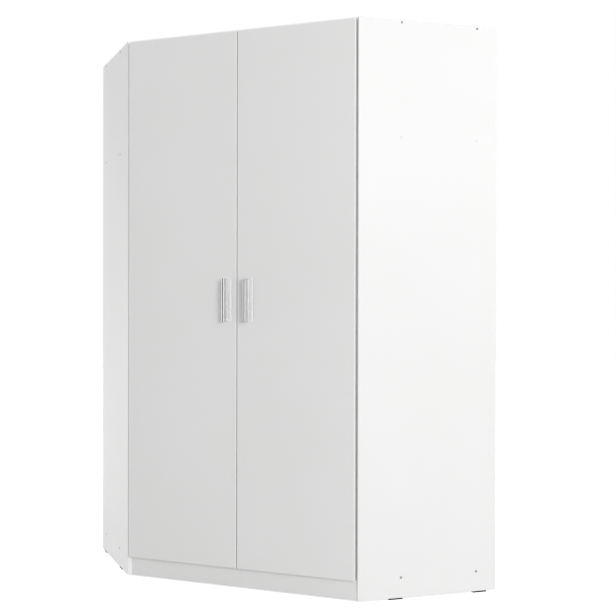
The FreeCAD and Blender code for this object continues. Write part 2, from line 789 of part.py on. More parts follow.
def bent_strip(drawing, cup_pivot, arm_pivot, bend):
    # A strip of the link's wall, bent to an arc that bulges towards the floor of the cup
    start = FreeCAD.Vector(value(cup_pivot[0]), value(cup_pivot[1]), 0)
    finish = FreeCAD.Vector(value(arm_pivot[0]), value(arm_pivot[1]), 0)
    chord = finish - start
    radius = value(bend)
    rise = (radius ** 2 - (chord.Length / 2) ** 2) ** 0.5
    normal = FreeCAD.Vector(-chord.y, chord.x, 0).normalize()
    centre = (start + finish) / 2 + normal * rise
    half_wall = "dims.link_wall / 2"
    middle = centre - normal * radius
    drawing.addGeometry(Part.Arc(start, middle, finish), True)
    bind_point(drawing, 0, 1, cup_pivot)
    bind_point(drawing, 0, 2, arm_pivot)
    bind(drawing, Sketcher.Constraint("Radius", 0, radius), bend)
    ends = []
    for item, size in ((1, f"{bend} + {half_wall}"), (2, f"{bend} - {half_wall}")):
        share = value(size) / radius
        points = [centre + (point - centre) * share for point in (start, middle, finish)]
        ends.append((points[0], points[2]))
        drawing.addGeometry(Part.Arc(*points), False)
        drawing.addConstraint(Sketcher.Constraint("Coincident", item, 3, 0, 3))
        bind(drawing, Sketcher.Constraint("Radius", item, value(size)), size)
    for item, end in ((3, 0), (4, 1)):
        drawing.addGeometry(Part.LineSegment(ends[0][end], ends[1][end]), False)
        drawing.addConstraint(Sketcher.Constraint("Coincident", item, 1, 1, end + 1))
        drawing.addConstraint(Sketcher.Constraint("Coincident", item, 2, 2, end + 1))
        drawing.addConstraint(Sketcher.Constraint("PointOnObject", 0, end + 1, item))
        drawing.addConstraint(Sketcher.Constraint("PointOnObject", 0, 3, item))


EYE_SHARES = (
    (1, 0), (0.707, 0.707), (0, 1), (-0.707, 0.707),
    (-1, 0), (-0.707, -0.707), (0, -1), (0.707, -0.707),
)


def eye_outline(drawing, place, radius):
    # An eight-sided outline, with its corners on a circle
    corners = []
    for right_share, high_share in EYE_SHARES:
        across = f"{place[0]} + {radius} * {right_share}"
        up = f"{place[1]} + {radius} * {high_share}"
        corners.append((across, up))
    polygon(drawing, corners)


def hole_outline(drawing, place, radius):
    # An eight-sided hole, with its flats on a circle
    eye_outline(drawing, place, f"{radius} * sqrt(4 - 2 * sqrt(2))")


def links(label, cup_pivot, arm_pivot, bend, layer, cup_eye, cup_hole):
    body = new_body(label, door_frame, HINGE_BASE)
    drawing = sketch(body, "XY_Plane", layer)
    bent_strip(drawing, cup_pivot, arm_pivot, bend)
    pad(body, drawing, "dims.link_width")
    drawing = sketch(body, "XY_Plane", layer)
    eye_outline(drawing, arm_pivot, "dims.eye_radius")
    eye_outline(drawing, cup_pivot, cup_eye)
    pad(body, drawing, "dims.link_width")
    drawing = sketch(body, "XY_Plane", layer)
    hole_outline(drawing, arm_pivot, PIN_HOLE)
    hole_outline(drawing, cup_pivot, cup_hole)
    pocket(body, drawing, "dims.link_width", backwards=True)
    every_hinge(body)
    keep_pair(body)


def hinge_links():
    # The outer links lie above the arm's tongue and the inner links below it
    links("left_outer_links", OUTER_CUP, OUTER_FIXED, "dims.outer_link_bend", LINK_SIDE,
          "dims.eye_radius", PIN_HOLE)
    slack_hole = "(dims.pin_radius + dims.open_eye_slack)"
    links("left_inner_links", INNER_CUP, INNER_FIXED, "dims.inner_link_bend", f"-{LINK_END}",
          "dims.open_eye_radius", slack_hole)


def hinge_arms():
    body = new_body("left_hinge_arms", door_frame, HINGE_BASE)
    tail = "dims.plate_setback + dims.plate_length / 2"
    ridge = "dims.plate_ridge_height"
    cover = "dims.plate_ridge_height + dims.arm_depth"
    bend_depth = on_panel("-dims.arm_reach", ridge)[1]
    neck_end = f"({OUTER_FIXED[0]} - dims.arm_neck_setback)"
    drawing = sketch(body, "XY_Plane")
    polygon(drawing, [
        on_panel(tail, ridge),
        on_panel("-dims.arm_reach", ridge),
        (neck_end, bend_depth),
        (neck_end, f"{bend_depth} + dims.arm_neck_depth"),
        on_panel("0", cover),
        on_panel(tail, cover),
    ])
    pad(body, drawing, "dims.arm_width", midplane=True)
    # A narrow tongue carries both fixed pivots between the links
    drawing = sketch(body, "XY_Plane")
    rectangle(
        drawing,
        f"{neck_end} - dims.overrun",
        OUTER_FIXED[0],
        f"{OUTER_FIXED[1]} - dims.tongue_radius / 2",
        f"{OUTER_FIXED[1]} + dims.tongue_radius",
    )
    pad(body, drawing, "dims.tongue_width", midplane=True)
    drawing = sketch(body, "XY_Plane")
    tongue_outline(drawing)
    pad(body, drawing, "dims.tongue_width", midplane=True)
    drawing = sketch(body, "XY_Plane")
    eye_outline(drawing, OUTER_FIXED, "dims.tongue_radius")
    eye_outline(drawing, INNER_FIXED, "dims.tongue_radius")
    pad(body, drawing, "dims.tongue_width", midplane=True)
    pin(body, OUTER_FIXED, "0", LINK_END)
    pin(body, INNER_FIXED, "0", LINK_END, downwards=True)
    every_hinge(body)
    keep_pair(body)


def tongue_outline(drawing):
    # A straight bar from one fixed pivot to the other
    run = f"({OUTER_FIXED[0]} - {INNER_FIXED[0]})"
    rise = f"({OUTER_FIXED[1]} - {INNER_FIXED[1]})"
    length = f"sqrt({run} * {run} + {rise} * {rise})"
    across = f"(dims.tongue_half_width * {rise} / {length})"
    up = f"(dims.tongue_half_width * {run} / {length})"
    polygon(drawing, [
        (f"{INNER_FIXED[0]} + {across}", f"{INNER_FIXED[1]} - {up}"),
        (f"{OUTER_FIXED[0]} + {across}", f"{OUTER_FIXED[1]} - {up}"),
        (f"{OUTER_FIXED[0]} - {across}", f"{OUTER_FIXED[1]} + {up}"),
        (f"{INNER_FIXED[0]} - {across}", f"{INNER_FIXED[1]} + {up}"),
    ])


def hinge_plates():
    body = new_body("left_hinge_plates", door_frame, HINGE_BASE)
    for length, height, width in (
        ("dims.plate_length", "dims.plate_ridge_height", "dims.plate_ridge_width"),
        ("dims.plate_wing_length", "dims.plate_wing_wall", "dims.plate_wing_span"),
    ):
        front = f"dims.plate_setback - {length} / 2"
        rear = f"dims.plate_setback + {length} / 2"
        drawing = sketch(body, "XY_Plane")
        polygon(drawing, [
            on_panel(front, "0"),
            on_panel(front, height),
            on_panel(rear, height),
            on_panel(rear, "0"),
        ])
        pad(body, drawing, width, midplane=True)
    every_hinge(body)
    keep_pair(body)


side_panel()
level_board("bottom_panel", BOTTOM, "dims.board_front_depth")
level_board("hat_shelf", SHELF_UNDER, "dims.shelf_front_depth")
level_board("top_panel", TOP_UNDER, "dims.board_front_depth")
corner_board()
corner_blocks()
plinth_board()
plinth_brackets()
back_sheets()
joint_strip()
wall_bracket()
floor_glides()
clothes_rail()
rail_hanger()
door()
handle("left_handle", HANDLE_CENTRE)
handle("right_handle", f"({DIAGONAL} - {HANDLE_CENTRE})")
hinge_cups()
hinge_links()
hinge_arms()
hinge_plates()
doc.recompute()

for item in doc.Objects:
    if "Invalid" in item.State or "Error" in item.State:
        raise ValueError(f"{item.Label} failed: {item.State}")
for piece in parts:
    if piece.Shape.isNull() or not piece.Shape.isValid():
        raise ValueError(f"{piece.Label} has no valid shape")

os.makedirs("parts", exist_ok=True)
for piece in parts:
    piece.Shape.exportStep(f"parts/{piece.Label}.step")
    print(piece.Label, len(piece.Shape.Solids), "solids", round(piece.Shape.Volume), "mm3")
print(len(parts), "sub-parts")
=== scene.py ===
# %% [markdown]
# # A white corner wardrobe
# This lesson dresses the finished CAD model of a corner wardrobe: two side panels, a diagonal pair of doors and a
# plinth, and inside it a hat shelf, clothes rails and concealed hinges. The solids already have the right shape, so
# they stay as they are. What is left to do is the finish of every surface, and the small fasteners that the solids
# leave out. Everything is in metres.

# %% Load the solids
import math

import bmesh
import bpy
from mathutils import Euler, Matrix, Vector


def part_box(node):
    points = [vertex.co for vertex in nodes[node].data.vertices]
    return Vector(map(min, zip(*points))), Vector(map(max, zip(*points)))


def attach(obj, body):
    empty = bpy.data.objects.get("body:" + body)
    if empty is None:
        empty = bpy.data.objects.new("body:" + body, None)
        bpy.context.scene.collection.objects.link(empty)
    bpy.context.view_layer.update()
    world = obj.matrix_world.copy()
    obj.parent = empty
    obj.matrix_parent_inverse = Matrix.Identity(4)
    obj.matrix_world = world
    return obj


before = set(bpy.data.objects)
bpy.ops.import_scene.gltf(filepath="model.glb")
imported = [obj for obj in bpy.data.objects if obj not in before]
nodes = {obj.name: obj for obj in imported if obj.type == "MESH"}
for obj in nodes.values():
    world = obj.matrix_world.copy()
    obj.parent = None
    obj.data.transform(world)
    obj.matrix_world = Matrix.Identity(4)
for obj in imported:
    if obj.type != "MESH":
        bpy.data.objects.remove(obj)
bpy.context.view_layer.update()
scene = bpy.context.scene
scene.view_settings.view_transform = "Standard"
MM = 0.001

# %% [markdown]
# ## A few small helpers
# Colours are picked as sRGB hex values, the way a paint shop or a screen gives them, but shader sockets expect linear
# light, so one function converts them. Every finish is a small tree of nodes. Adding each node by hand takes four or
# five lines, which hides the idea, so one function adds a node, sets it and links it. Pattern sizes are thought of in
# millimetres, and a texture's scale is how many of them fit in a metre.

# %% Colour and node helpers
def linear(code):
    channels = [int(code[i:i + 2], 16) / 255 for i in (1, 3, 5)]
    spread = [c / 12.92 if c <= 0.04045 else ((c + 0.055) / 1.055) ** 2.4 for c in channels]
    return (*spread, 1.0)


def add(tree, kind, inputs=None, **settings):
    item = tree.nodes.new(kind)
    for name, setting in settings.items():
        setattr(item, name, setting)
    for name, given in (inputs or {}).items():
        if isinstance(given, bpy.types.NodeSocket):
            tree.links.new(given, item.inputs[name])
        else:
            item.inputs[name].default_value = given
    return item


def finish(name):
    material = bpy.data.materials.new(name)
    material.use_nodes = True
    return material, material.node_tree, material.node_tree.nodes["Principled BSDF"]


def coat(material, *names):
    for name in names:
        nodes[name].data.materials.clear()
        nodes[name].data.materials.append(material)


def per_metre(size_mm):
    return 1 / (size_mm * MM)


print("white #ECECEB is linear", [round(c, 3) for c in linear("#ECECEB")[:3]])

# %% [markdown]
# ## Words for finishes
# The same few steps come back in every finish: a sum, the part of a vector that lies along a direction, a mix of two
# colours, a noise of a given size, and a range for the gloss. Each gets a word of its own, so that a finish reads like
# a recipe. The last word joins colour, gloss and relief to the shader.

# %% Sums, masks, mixes and patterns
def maths(tree, operation, *terms):
    return add(tree, "ShaderNodeMath", dict(enumerate(terms)), operation=operation).outputs[0]


def share_along(tree, vector, direction):
    return add(tree, "ShaderNodeVectorMath", {0: vector, 1: direction}, operation="DOT_PRODUCT").outputs["Value"]


def mixed(tree, factor, first, second):
    colours = {"Factor": factor, "A": first, "B": second}
    return add(tree, "ShaderNodeMix", colours, data_type="RGBA").outputs["Result"]


def noise(tree, vector, size_mm, detail, **more):
    pattern = {"Vector": vector, "Scale": per_metre(size_mm), "Detail": detail, **more}
    return add(tree, "ShaderNodeTexNoise", pattern).outputs["Fac"]


def ranged(tree, factor, low, high):
    return add(tree, "ShaderNodeMapRange", {"Value": factor, "To Min": low, "To Max": high}).outputs["Result"]


def dress(tree, shader, colour, gloss, height, strength, relief_mm):
    bump = add(tree, "ShaderNodeBump", {"Height": height, "Strength": strength, "Distance": relief_mm * MM})
    tree.links.new(colour, shader.inputs["Base Color"])
    tree.links.new(gloss, shader.inputs["Roughness"])
    tree.links.new(bump.outputs["Normal"], shader.inputs["Normal"])


print("a pattern of 5 mm repeats", round(per_metre(5)), "times in a metre")

# %% [markdown]
# ## White melamine board
# The boards are chipboard with a pressed melamine skin: hard, slightly glossy, with the faint orange peel of the press
# plate. The narrow edges carry a strip of white ABS that is smoother and a touch brighter. On the doors the upright
# strips are painted a pale grey behind their polished front corner. This is painted shade, which draws the dark lines
# in the gaps beside the doors. A rear edge that goes to the wall stays raw, so the chips show. The edges could be
# separate meshes, but then they would have to be cut from the solids. Instead an edge is found from the object-space
# normal: it is every face that doesn't look along the board's thickness. That mask belongs to the mesh, so it turns
# with a door that opens.

# %% White melamine
def melamine(name, thickness, raw_edge=None, shaded_upright_edge=None, shade_start_depth=0.0):
    material, tree, shader = finish(name)
    place = add(tree, "ShaderNodeTexCoord").outputs
    facing = share_along(tree, place["Normal"], thickness)
    edge = maths(tree, "LESS_THAN", maths(tree, "MULTIPLY", facing, facing), 0.9)
    # The press leaves the skin a shade warmer and cooler over about half a metre
    cloud = noise(tree, place["Object"], 450, 2.0)
    skin = mixed(tree, cloud, linear("#E9E9E8"), linear("#EEEEEE"))
    colour = mixed(tree, edge, skin, linear("#F7F7F6"))
    # Painted shade: the doors' upright edge strips turn pale grey behind their front corner, for the shade in the gaps
    if shaded_upright_edge:
        turned = maths(tree, "ABSOLUTE", share_along(tree, place["Normal"], shaded_upright_edge))
        gap_shade_strip = maths(tree, "GREATER_THAN", turned, 0.95)
        behind = maths(tree, "GREATER_THAN", share_along(tree, place["Object"], thickness), shade_start_depth)
        colour = mixed(tree, maths(tree, "MULTIPLY", gap_shade_strip, behind), colour, linear("#C8C8C6"))
    if raw_edge:
        # Sawn chipboard: straw-coloured chips about 3 mm long with darker glue between them
        raw = maths(tree, "GREATER_THAN", share_along(tree, place["Normal"], raw_edge), 0.7)
        chips = add(tree, "ShaderNodeTexVoronoi", {"Vector": place["Object"], "Scale": per_metre(3)})
        wood = mixed(tree, chips.outputs["Distance"], linear("#C9AD85"), linear("#8D6E48"))
        colour = mixed(tree, raw, colour, wood)
    # Wiping leaves soft smears about 60 mm across, which show only in the gloss
    gloss = ranged(tree, noise(tree, place["Object"], 60, 3.0), 0.34, 0.46)
    # The real orange peel is about 0.8 mm; 5 mm is as fine as a whole wardrobe can show
    peel = noise(tree, place["Object"], 5, 1.0)
    dress(tree, shader, colour, gloss, peel, strength=0.08, relief_mm=0.2)
    shader.inputs["IOR"].default_value = 1.5
    return material


print("a board's edge is where less than", round(math.sqrt(0.9), 2), "of the normal lies along its thickness")

# %% [markdown]
# ## Which way each board lies
# A board's mask needs the direction of its thickness. The side panels lie along x or y and the level boards along z.
# The doors, the plinth and the rear corner board stand at 45 degrees: INTO points through them into the wardrobe, and
# ALONG runs from the left end of the front to the right end. The front of a door is measured on its own solid.

# %% Melamine on the boards
INTO = Vector((math.sqrt(0.5), math.sqrt(0.5), 0))
ALONG = Vector((math.sqrt(0.5), -math.sqrt(0.5), 0))
CORNER = 3 * MM
# Pressed melamine gives the eye an even, slightly cool white with wide soft highlights
coat(melamine("melamine_left_side", (1, 0, 0), raw_edge=(0, 1, 0)), "left_side_panel")
coat(melamine("melamine_right_side", (0, 1, 0), raw_edge=(1, 0, 0)), "right_side_panel")
coat(melamine("melamine_level_board", (0, 0, 1)), "top_panel", "bottom_panel", "hat_shelf")
coat(melamine("melamine_front_board", INTO), "plinth_board", "corner_board")
door_front = min(INTO.dot(vertex.co) for vertex in nodes["left_door_panel"].data.vertices)
# The doors' upright edge strips carry painted shade behind their front corner
door_skin = melamine("melamine_door", INTO, shaded_upright_edge=ALONG, shade_start_depth=door_front + CORNER)
coat(door_skin, "left_door_panel", "right_door_panel")
print("the doors' front lies", round(-door_front, 3), "m before the middle")

# %% [markdown]
# ## Hardboard back walls
# The back sheets are 3 mm hardboard: brown pressed fibre towards the room wall, white lacquer towards the inside. Two
# meshes glued together could carry the two colours, but one sheet with a normal mask, as on the boards, is simpler.
# The fibre is a noise stretched a little one way, and slow stains keep a wall of two metres from looking printed.

# %% Hardboard, lacquered on the inside
def hardboard(name, inside):
    material, tree, shader = finish(name)
    place = add(tree, "ShaderNodeTexCoord").outputs
    lacquer = maths(tree, "GREATER_THAN", share_along(tree, place["Normal"], inside), 0.5)
    lie = add(tree, "ShaderNodeMapping", {"Vector": place["Object"], "Scale": (1.0, 1.0, 0.45)})
    # Fibre bundles are 1 to 2 mm long; 7 mm shows at this size
    fibre = noise(tree, lie.outputs["Vector"], 7, 5.0, Roughness=0.65)
    brown = add(tree, "ShaderNodeValToRGB", {"Fac": fibre})
    deep, pale = brown.color_ramp.elements
    deep.position, deep.color = 0.32, linear("#5E3F26")
    pale.position, pale.color = 0.70, linear("#9A7048")
    # Damp and glue leave paler patches about 220 mm across
    stain = noise(tree, place["Object"], 220, 3.0)
    worn = mixed(tree, stain, brown.outputs["Color"], linear("#82603C"))
    colour = mixed(tree, lacquer, worn, linear("#E8E8E6"))
    dress(tree, shader, colour, ranged(tree, lacquer, 0.78, 0.45), fibre, strength=0.2, relief_mm=0.3)
    return material


# Pressed fibre gives the eye a dull mottled brown; its lacquered side a plain satin white
coat(hardboard("hardboard_left_wall", (0, -1, 0)), "left_outer_back_sheet", "left_inner_back_sheet")
coat(hardboard("hardboard_right_wall", (-1, 0, 0)), "right_outer_back_sheet", "right_inner_back_sheet")
print("hardboard on four back sheets")

# %% [markdown]
# ## Plastics
# The joint strips and corner blocks are moulded in white ABS, the rail fittings in grey ABS, the screw caps in
# polyethylene and the glides in black polyamide. Moulded plastic takes the fine grain of its spark-eroded mould, which
# shows in its gloss and a little in its relief. One function makes them all, because only colour, gloss and grain
# differ.

# %% Moulded plastics
def moulded(name, light, dark, roughness, grain_mm, specular):
    material, tree, shader = finish(name)
    place = add(tree, "ShaderNodeTexCoord").outputs
    grain = noise(tree, place["Object"], grain_mm, 2.0)
    colour = mixed(tree, grain, linear(dark), linear(light))
    gloss = ranged(tree, grain, roughness - 0.06, roughness + 0.06)
    dress(tree, shader, colour, gloss, grain, strength=0.25, relief_mm=0.05)
    shader.inputs["IOR"].default_value = 1.53
    shader.inputs["Specular IOR Level"].default_value = specular
    return material


# The mould's grain is about 0.1 mm; 1.5 mm is the finest that shows on pieces this small
white_abs = moulded("abs_white_moulded", "#ECECE9", "#E2E2DF", roughness=0.42, grain_mm=1.5, specular=0.5)
# Mid grey with a soft sheen, as on most rail fittings
grey_abs = moulded("abs_grey_moulded", "#A9AAAC", "#9A9B9E", roughness=0.40, grain_mm=1.5, specular=0.5)
# Screw caps are soft polyethylene in nearly the white of the boards, so they show only as faint discs: a painted
# highlight over heads that the light washes out
cap_plastic = moulded("polyethylene_white_moulded", "#E8E8E6", "#E2E2E0", roughness=0.48, grain_mm=1.5, specular=0.4)
# Glides rub on floors, so their black is dull and nearly without highlights
black_polyamide = moulded("polyamide_black_moulded", "#121212", "#090909", roughness=0.70, grain_mm=1.2, specular=0.12)
coat(white_abs, "left_back_joint_strip", "right_back_joint_strip", "corner_blocks")
coat(grey_abs, "rail_sockets", "rail_caps", "rail_hangers")
coat(black_polyamide, "floor_glides")
print("plastics:", white_abs.name, grey_abs.name, cap_plastic.name, black_polyamide.name)

# %% [markdown]
# ## Clear silicone
# The door bumpers are little domes of clear silicone. Glass with its full transmission would look too hard, so part
# of the light is scattered, and a haze in the roughness stands for the dust that silicone always picks up.

# %% Silicone for the bumpers
silicone, silicone_tree, silicone_shader = finish("silicone_clear_moulded")
silicone_place = add(silicone_tree, "ShaderNodeTexCoord").outputs
haze = ranged(silicone_tree, noise(silicone_tree, silicone_place["Object"], 1.2, 1.0), 0.22, 0.34)
silicone_tree.links.new(haze, silicone_shader.inputs["Roughness"])
# Clear and soft: a milky drop with a blurred bright spot
silicone_shader.inputs["Base Color"].default_value = linear("#E6E8E8")
silicone_shader.inputs["Transmission Weight"].default_value = 0.6
silicone_shader.inputs["IOR"].default_value = 1.41
print("silicone transmits", silicone_shader.inputs["Transmission Weight"].default_value)

# %% [markdown]
# ## Metals
# The handles are extruded aluminium, brushed along their length and anodised satin. The rails are chromed tube. The
# hinges are nickel plated, the brackets and small screws zinc plated, and the heads of the long carcass screws are a
# dull zinc. All of them are one idea, a metal whose brightness and gloss vary along the direction in which it was
# worked, so one function makes them. The stretch says which direction that is.

# %% Brushed and plated metals
def worked_metal(name, light, dark, roughness, streak_mm, stretch=(1, 1, 1), relief_mm=0.02):
    material, tree, shader = finish(name)
    place = add(tree, "ShaderNodeTexCoord").outputs
    lie = add(tree, "ShaderNodeMapping", {"Vector": place["Object"], "Scale": stretch})
    streak = noise(tree, lie.outputs["Vector"], streak_mm, 4.0, Roughness=0.6)
    colour = mixed(tree, streak, linear(dark), linear(light))
    gloss = ranged(tree, streak, roughness * 0.8, roughness * 1.2)
    dress(tree, shader, colour, gloss, streak, strength=0.3, relief_mm=relief_mm)
    shader.inputs["Metallic"].default_value = 1.0
    return material


# Brush lines are about 0.1 mm apart; 1 mm is as fine as a 40 px handle shows. They give a pale satin grey
aluminium = worked_metal(
    "aluminium_brushed_anodised", "#F0F0F0", "#DADADB", roughness=0.40, streak_mm=1.0, stretch=(1, 1, 0.02),
)
# Polished chrome mirrors the inside of the wardrobe almost sharply
chrome = worked_metal("steel_chrome_plated", "#DCDDDE", "#D2D3D5", roughness=0.07, streak_mm=40.0, relief_mm=0.005)
# Nickel has a warm, slightly yellow shine
nickel = worked_metal("steel_nickel_plated", "#CFCCC6", "#B9B6B0", roughness=0.26, streak_mm=2.0, stretch=(1, 1, 0.3))
# Zinc looks cool and cloudy, with crystals of a few millimetres
zinc = worked_metal("steel_zinc_plated", "#C2C5C8", "#A3A7AB", roughness=0.36, streak_mm=6.0)
# Dull zinc is nearly grey enamel, so the heads read as soft dots on the white boards
dull_zinc = worked_metal("steel_zinc_dull", "#9C9C9A", "#868684", roughness=0.42, streak_mm=1.5)
hinge_pieces = ("hinge_plates", "hinge_arms", "hinge_cups", "outer_links", "inner_links")
coat(aluminium, "left_handle", "right_handle")
coat(chrome, "left_rail", "right_rail")
coat(nickel, *[f"{side}_{piece}" for side in ("left", "right") for piece in hinge_pieces])
coat(zinc, "left_wall_bracket", "right_wall_bracket", "plinth_brackets")
print("metals:", aluminium.name, chrome.name, nickel.name, zinc.name, dull_zinc.name)

# %% [markdown]
# ## Painted shade on the sides and in the groove of the handles
# Only the front of a handle keeps the brushed colour. Its sides are painted a duller grey, which is painted shade for
# the darker light that the sides catch. The grip bar has a groove down its front, painted dark as a line of painted
# shade. Both could have materials of their own, but then their faces would have to be picked out of the solid. The
# normal finds the sides. Both bars stand equally far from the middle of the front, so the distance along the front
# finds the groove on both handles at once. The finished tree only gets two more mixes.

# %% Paint shade on the sides and in the groove
BAR_OFFSET = 42.5 * MM
GROOVE_HALF_WIDTH = 1.7 * MM
metal_tree = aluminium.node_tree
metal_colour = metal_tree.nodes["Principled BSDF"].inputs["Base Color"]
brushed = metal_colour.links[0].from_socket
metal_place = add(metal_tree, "ShaderNodeTexCoord").outputs
turned_away = maths(metal_tree, "ABSOLUTE", share_along(metal_tree, metal_place["Normal"], ALONG))
side_shade_mask = maths(metal_tree, "GREATER_THAN", turned_away, 0.7)
# Painted shade: the sides of the bar and flange are painted a darker grey than the brushed front
side_shaded_colour = mixed(metal_tree, side_shade_mask, brushed, linear("#A8A8A9"))
from_middle = maths(metal_tree, "ABSOLUTE", share_along(metal_tree, metal_place["Object"], ALONG))
# Painted shade: a dark line painted down the groove of each bar
groove_shade_mask = maths(metal_tree, "COMPARE", from_middle, BAR_OFFSET, GROOVE_HALF_WIDTH)
metal_tree.links.new(mixed(metal_tree, groove_shade_mask, side_shaded_colour, linear("#6C6D6E")), metal_colour)
print("both bars lie", round(BAR_OFFSET / MM, 1), "mm from the middle of the front")

# %% [markdown]
# ## Patterns for screw, nail and bumper heads
# Every fastener here is round, and some have a cross or a hexagon in their middle, so each mesh is a stack of rings. A
# ring's radius may depend on the angle, which turns a plain lathe into one that can also cut those two, with no
# boolean. A unit radius keeps the patterns general; the real radius is given later, where they are used.

# %% Rings of three kinds
ARM = 0.62
SLOT = 0.17
notch = math.atan2(SLOT, ARM)
slope = (notch + math.pi / 4) / 2
quarter = (0.0, notch, slope, math.pi / 4, math.pi / 2 - slope, math.pi / 2 - notch)
angles = [k * math.pi / 2 + a for k in range(4) for a in quarter]


def round_ring(radius):
    return lambda angle: radius


def cross_ring(share):
    def radius(angle):
        across, up = max(abs(math.cos(angle)), 1e-6), max(abs(math.sin(angle)), 1e-6)
        return share * max(min(ARM / across, SLOT / up), min(SLOT / across, ARM / up))
    return radius


def hexagon_ring(radius):
    third = math.pi / 3
    return lambda angle: radius * math.cos(third / 2) / math.cos((angle % third) - third / 2)


print(len(angles), "points on each ring")

# %% Heads built from rings
def head_pattern(name, rings):
    build = bmesh.new()
    loops = []
    for ring, height in rings:
        loops.append([build.verts.new((ring(a) * math.cos(a), ring(a) * math.sin(a), height)) for a in angles])
    for low, high in zip(loops, loops[1:]):
        for i in range(len(angles)):
            j = (i + 1) % len(angles)
            build.faces.new((low[i], low[j], high[j], high[i]))
    build.faces.new(loops[-1])
    build.faces.new(loops[0][::-1])
    bmesh.ops.recalc_face_normals(build, faces=build.faces)
    mesh = bpy.data.meshes.new(name)
    build.to_mesh(mesh)
    build.free()
    return bpy.data.objects.new(name, mesh)


cross_head = head_pattern("cross_head", [
    (round_ring(1.0), -0.05), (round_ring(1.0), 0.12), (round_ring(0.86), 0.36),
    (cross_ring(1.0), 0.42), (cross_ring(0.7), 0.12),
])
socket_head = head_pattern("socket_head", [
    (round_ring(1.0), -0.03), (round_ring(1.0), 0.05), (round_ring(0.93), 0.085),
    (hexagon_ring(0.56), 0.08), (hexagon_ring(0.54), 0.01),
])
nail_head = head_pattern("nail_head", [(round_ring(1.0), -0.1), (round_ring(1.0), 0.15), (round_ring(0.55), 0.32)])
soft_dome = head_pattern("soft_dome", [
    (round_ring(1.0), -0.02), (round_ring(1.0), 0.42), (round_ring(0.88), 0.60),
    (round_ring(0.6), 0.72), (round_ring(0.25), 0.76),
])
low_cap = head_pattern("low_cap", [
    (round_ring(1.0), -0.02), (round_ring(1.0), 0.05), (round_ring(0.9), 0.11), (round_ring(0.45), 0.15),
])
print("patterns:", ", ".join(p.name for p in (cross_head, socket_head, nail_head, soft_dome, low_cap)))

# %% [markdown]
# ## A tree that sets fasteners at given places
# Screws repeat, so Geometry Nodes place them: a mesh of loose points says where, and a vector stored on each point
# says which way that screw faces. A loop in Python could copy meshes too, but the tree also gives each hand-driven
# screw its own random turn, from a fixed seed. The tree realizes its instances, because the exported model keeps only
# real mesh.

# %% Geometry Nodes: fasteners at places
def tree_with_inputs(name, output, **inputs):
    tree = bpy.data.node_groups.new(name, "GeometryNodeTree")
    for label, kind in inputs.items():
        tree.interface.new_socket(label.replace("_", " "), in_out="INPUT", socket_type="NodeSocket" + kind)
    tree.interface.new_socket(output, in_out="OUTPUT", socket_type="NodeSocketGeometry")
    return tree, add(tree, "NodeGroupInput").outputs


setter, given = tree_with_inputs(
    "fasteners_at_places", "Fasteners",
    Places="Geometry", Pattern="Object", Head_Radius="Float", Seed="Int", Finish="Material",
)
facing = add(setter, "GeometryNodeInputNamedAttribute", {"Name": "facing"}, data_type="FLOAT_VECTOR")
stand = add(setter, "FunctionNodeAlignRotationToVector", {"Vector": facing.outputs["Attribute"]}, axis="Z")
turn = add(setter, "FunctionNodeRandomValue", {2: 0.0, 3: math.tau, "Seed": given["Seed"]}, data_type="FLOAT")
twist = add(setter, "FunctionNodeAxisAngleToRotation", {"Axis": (0, 0, 1), "Angle": turn.outputs[1]})
driven = add(setter, "FunctionNodeRotateRotation", {
    "Rotation": stand.outputs["Rotation"], "Rotate By": twist.outputs["Rotation"],
}, rotation_space="LOCAL")
shape = add(setter, "GeometryNodeObjectInfo", {"Object": given["Pattern"]}, transform_space="ORIGINAL")
placed = add(setter, "GeometryNodeInstanceOnPoints", {
    "Points": given["Places"], "Instance": shape.outputs["Geometry"],
    "Rotation": driven.outputs["Rotation"], "Scale": given["Head Radius"],
})
real = add(setter, "GeometryNodeRealizeInstances", {"Geometry": placed.outputs["Instances"]})
dressed = add(setter, "GeometryNodeSetMaterial", {"Geometry": real.outputs["Geometry"], "Material": given["Finish"]})
add(setter, "NodeGroupOutput", {"Fasteners": dressed.outputs["Geometry"]})
print("tree:", setter.name, "with", len(setter.nodes), "nodes")

# %% [markdown]
# ## From a tree to a plain mesh
# A modifier's inputs are set by the socket's identifier, before the object is first evaluated. The evaluated result
# becomes a mesh of its own and the carrier is thrown away, so no modifier is left on a piece that rides on a body. A
# call that sets fasteners ends with the radius of a head in millimetres, its finish and the seed of its random turn.

# %% Bake a tree and ride it on a body
def socket_id(tree, name):
    return next(i.identifier for i in tree.interface.items_tree if i.name == name and i.in_out == "INPUT")


def baked(name, mesh, tree, values):
    carrier = bpy.data.objects.new(name + "_places", mesh)
    scene.collection.objects.link(carrier)
    modifier = carrier.modifiers.new("nodes", "NODES")
    modifier.node_group = tree
    for label, given_value in values.items():
        modifier[socket_id(tree, label)] = given_value
    solid = bpy.data.meshes.new_from_object(carrier.evaluated_get(bpy.context.evaluated_depsgraph_get()))
    carrier.modifiers.clear()
    bpy.data.objects.remove(carrier)
    solid.name = name
    piece = bpy.data.objects.new(name, solid)
    scene.collection.objects.link(piece)
    return piece


def fasteners(name, body, places, pattern, radius_mm, metal, seed):
    mesh = bpy.data.meshes.new(name + "_places")
    mesh.from_pydata([place for place, _ in places], [], [])
    direction = mesh.attributes.new("facing", "FLOAT_VECTOR", "POINT")
    for item, (_, way) in zip(direction.data, places):
        item.vector = way
    piece = baked(name, mesh, setter, {
        "Pattern": pattern, "Head Radius": radius_mm * MM, "Seed": seed, "Finish": metal,
    })
    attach(piece, body)
    print(name, "on", body, "has", len(places), "heads,", len(piece.data.polygons), "faces")


print("first input:", socket_id(setter, "Pattern"))
